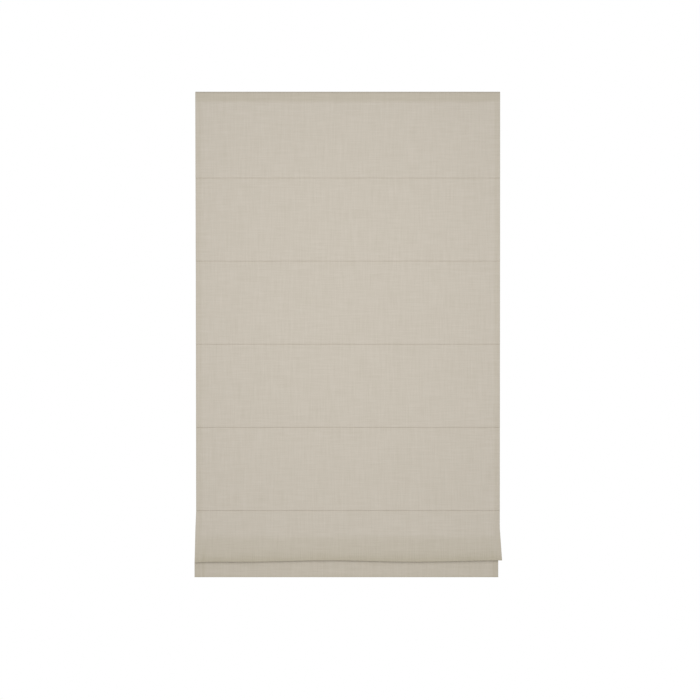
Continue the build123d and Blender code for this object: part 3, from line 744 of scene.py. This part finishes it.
# %% Cords, turns and knots
for place, x in zip(("left", "centre", "right"), CORD_X):
    wound = np.linspace(0, TURNS * 2 * math.pi, TURNS * 28)
    pitch = (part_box(f"lift_cord_{place}")[1].x - x - CORD_R) / wound[-1]
    helix = np.stack(
        [x + pitch * wound, SHAFT_Y - WIND_R * np.cos(wound), SHAFT_Z + WIND_R * np.sin(wound)], axis=-1
    )
    turns = cord_piece(f"cord_turns_{place}", helix, (1, 0, 0))
    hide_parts(f"lift_cord_{place}")
    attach(turns, "shaft")
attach(straight_cords("cords_in_rail", SHAFT_Z, spout_low), "head")
stops = [spout_low, *ROD_Z]
for k in range(6):
    low = stops[k + 1] if k < 5 else cord_end
    length = straight_cords(f"lift_cords_{k + 1}", stops[k], low)
    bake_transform(length)

t = np.linspace(0, 2 * math.pi, 60, endpoint=False)
trefoil = 0.75 * MM * np.stack(
    [np.sin(t) + 2 * np.sin(2 * t), np.cos(t) - 2 * np.cos(2 * t), -1.2 * np.sin(3 * t)], axis=-1
)
bead_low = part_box("cord_beads")[0].z
knots = np.stack([trefoil + (x, CORD_Y, bead_low - 1.6 * MM) for x in CORD_X])
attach(cord_piece("cord_knots", knots, (0, 0, 1), closed=True), "batten_6")
print("cord from spool to knot", round((SHAFT_Z - cord_end) / MM), "mm")

# %% [markdown]
# ## Hard pieces
# These keep the frame's shape and get the finish of what they are made of. Painted and moulded surfaces
# have a faint orange peel, drawn steel has fine lines along its length, and zinc plate shows a soft
# mottle. Every pattern is in object coordinates, which the pieces share.


# %% Finishes
def mottled(name, low_hex, high_hex, roughness, scale, bump, metallic=0.0, spread=0.08):
    """A finish whose colour and roughness wander between two values on a noise of that scale."""
    material, tree, shader = new_material(name, high_hex, roughness, metallic)
    place = (add_node(tree, "ShaderNodeTexCoord"), "Object")
    noise = stretched_noise(tree, place, scale, 3.0)
    colour = add_node(
        tree, "ShaderNodeMix",
        {0: (noise, 0), 6: to_linear(low_hex), 7: to_linear(high_hex)}, data_type="RGBA",
    )
    tree.links.new(colour.outputs[2], shader.inputs["Base Color"])
    gloss = add_node(
        tree, "ShaderNodeMapRange",
        {"Value": (noise, 0), "To Min": roughness - spread, "To Max": roughness + spread},
    )
    tree.links.new(gloss.outputs[0], shader.inputs["Roughness"])
    peel = add_node(tree, "ShaderNodeBump", {"Height": (noise, 0), "Strength": bump, "Distance": 0.1 * MM})
    tree.links.new(peel.outputs[0], shader.inputs["Normal"])
    return material, shader


# Orange peel is about 1.5 mm across, moulding grain 0.8 mm and brushed or drawn lines 0.3 mm. Spangle
# and glass strands are drawn 2 mm wide.
PEEL, GRAIN, LINE, SPANGLE = 1 / (1.5 * MM), 1 / (0.8 * MM), 1 / (0.3 * MM), 1 / (2 * MM)
rail_paint, _ = mottled("powder_coated_aluminium", "#e3e2de", "#eae9e5", 0.42, (PEEL, PEEL, PEEL), 0.15)
bar_metal, _ = mottled(
    "mill_finish_aluminium", "#b4b7ba", "#cfd1d3", 0.38, (20, LINE, LINE), 0.12, metallic=1.0
)
moulded, _ = mottled("moulded_acetal", "#dedcd5", "#e8e6e0", 0.45, (GRAIN, GRAIN, GRAIN), 0.10)
zinc, _ = mottled(
    "zinc_plated_steel", "#a9adb0", "#cdd0d1", 0.35, (SPANGLE, SPANGLE, SPANGLE), 0.08, metallic=1.0
)
spring_steel, _ = mottled("blued_spring_steel", "#5c6068", "#80858c", 0.3, (LINE, 60, 60), 0.1, metallic=1.0)
shaft_steel, _ = mottled("drawn_steel", "#8f9296", "#b5b8bb", 0.32, (15, LINE, LINE), 0.12, metallic=1.0)
fibreglass, _ = mottled("pultruded_fibreglass", "#dcdccb", "#eeeee2", 0.4, (12, PEEL, PEEL), 0.1)
clear, clear_shader = mottled(
    "clear_polycarbonate", "#e6ebeb", "#f2f5f5", 0.12, (GRAIN, GRAIN, GRAIN), 0.03, spread=0.04
)
clear_shader.inputs["Transmission Weight"].default_value = 0.75
clear_shader.inputs["IOR"].default_value = 1.58
tape, tape_shader = mottled(
    "nylon_touch_tape", "#cfccc2", "#e2dfd6", 0.85, (LINE / 3, LINE / 3, LINE / 3), 0.9
)
tape_shader.inputs["Sheen Weight"].default_value = 0.3

# %% Give each node its finish
FINISHES = {
    "head_rail": rail_paint, "bottom_bar_caps": moulded, "bottom_bar": bar_metal, "end_cap": moulded,
    "hook_tape": tape, "loop_tape": tape, "bracket": zinc, "latch": zinc, "lift_shaft": shaft_steel,
    "spool": moulded, "cradle": moulded, "motor_spring": spring_steel, "brake_spring": spring_steel,
    "motor": moulded, "brake": moulded, "shaft_collars": moulded, "rod_caps": clear, "rod_": fibreglass,
    "rings": clear, "cord_beads": clear,
}
for node_name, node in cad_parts.items():
    finish = next((f for start, f in FINISHES.items() if node_name.startswith(start)), None)
    if finish is None:
        continue  # the cloth and the cords, which soft pieces replace
    if not node.material_slots:
        node.data.materials.append(finish)
    for held in node.material_slots:
        held.material = finish
print("finishes", len(set(FINISHES.values())))

# %% [markdown]
# ## Floor
# A blind hangs clear of the floor, which lies below the view and only returns a little light.

# %% Floor
FLOOR_Z = cloth_low.z - 0.9
floor_x, floor_y = np.meshgrid(np.linspace(-3.0, 3.0, 7), np.linspace(1.5, -3.0, 6))
floor = surface("floor", np.stack([floor_x, floor_y, FLOOR_Z + 0 * floor_x], axis=-1))
floor_paint, _ = mottled("matt_floor_paint", "#efeeeb", "#f4f3f0", 0.9, (8, 8, 8), 0.0)
floor.data.materials.append(floor_paint)
